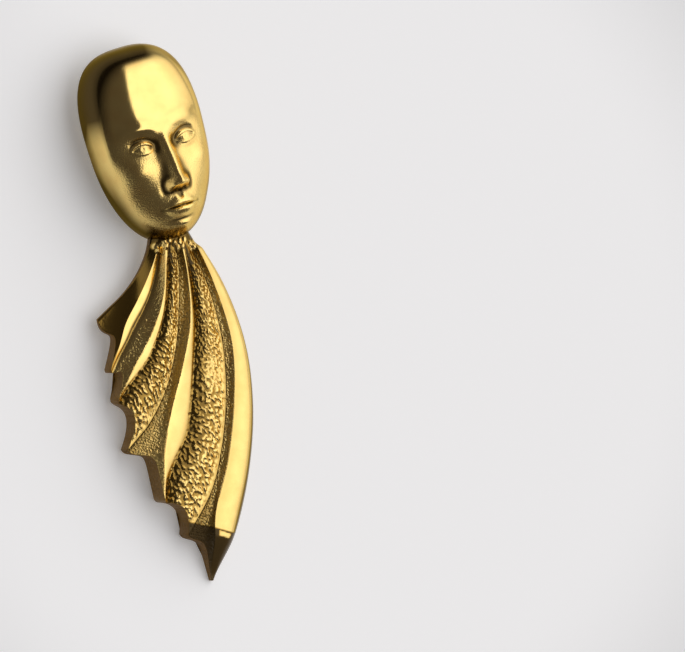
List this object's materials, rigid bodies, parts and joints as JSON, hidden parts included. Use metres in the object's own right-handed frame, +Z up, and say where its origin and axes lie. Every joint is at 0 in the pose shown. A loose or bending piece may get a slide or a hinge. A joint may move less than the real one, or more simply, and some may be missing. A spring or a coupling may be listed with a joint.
{
  "type": "mermaid mask ear clip",
  "caption": "Cast metal ear clip in the form of a head mask with a ribbed, scalloped fish-tail fin below its chin.",
  "frame": {"origin": "middle of the bounding box at the height of the surface that the earring lies on", "axes": "+Z up, out of the face; +Y from the fin's last tip towards the crown; +X to the right as seen from the front"},
  "size_m": [0.03, 0.085, 0.0152],
  "materials": {
    "gold_casting": "polished gold plate, with grained and pebbled panels and brown patina in the recesses",
    "gold_clip": "plain gold plate"
  },
  "bodies": {
    "root": {"casting": "gold_casting", "ear_clip": "gold_clip"}
  },
  "joints": []
}
